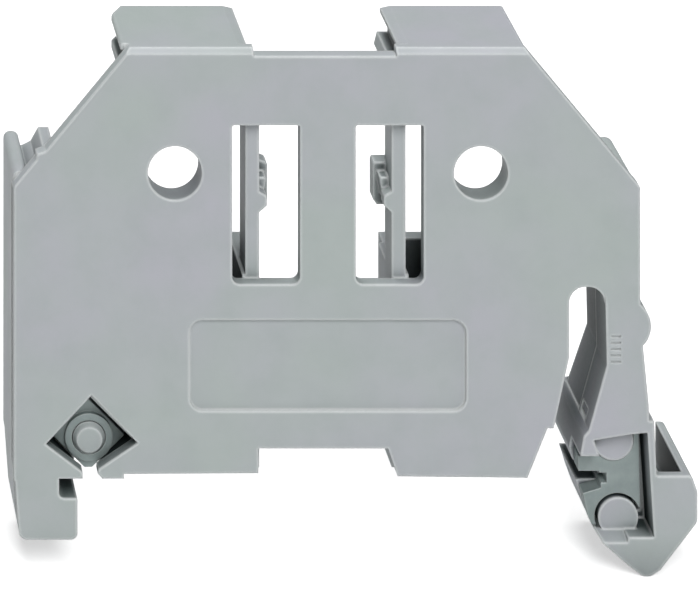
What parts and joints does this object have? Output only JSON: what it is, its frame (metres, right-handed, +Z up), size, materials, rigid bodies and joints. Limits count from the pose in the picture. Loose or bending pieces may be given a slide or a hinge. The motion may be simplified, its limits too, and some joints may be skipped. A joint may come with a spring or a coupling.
{
  "type": "din rail end stop",
  "caption": "Narrow plastic end stop that snaps onto a mounting rail, with a spring lever and foot, a hooked foot, clamping plates, marker heads, windows and round holes.",
  "frame": {"origin": "middle of the rail's width at the height of its top surface, half way along the length that the stop takes up on the rail", "axes": "+X across the rail towards the spring lever, +Y along the rail with the flat front plate facing -Y, +Z up away from the rail"},
  "size_m": [0.0442, 0.006, 0.0341],
  "materials": {
    "body": "matt light grey moulded plastic",
    "clamp_plate": "matt grey plated sheet"
  },
  "bodies": {
    "body": {"body": "body"},
    "left_clamp": {"left_clamp": "clamp_plate"},
    "right_clamp": {"right_clamp": "clamp_plate"}
  },
  "joints": [
    {"name": "left_clamp_rock", "type": "hinge", "parent": "body", "child": "left_clamp", "pos_m": [-0.0157, -0.001, 0.0021], "axis": [0, 1, 0], "range_deg": [-3, 3]},
    {"name": "right_clamp_rock", "type": "hinge", "parent": "body", "child": "right_clamp", "pos_m": [0.01834, -0.00145, 0.00205], "axis": [0, 1, 0], "range_deg": [-1.5, 1.5]}
  ]
}
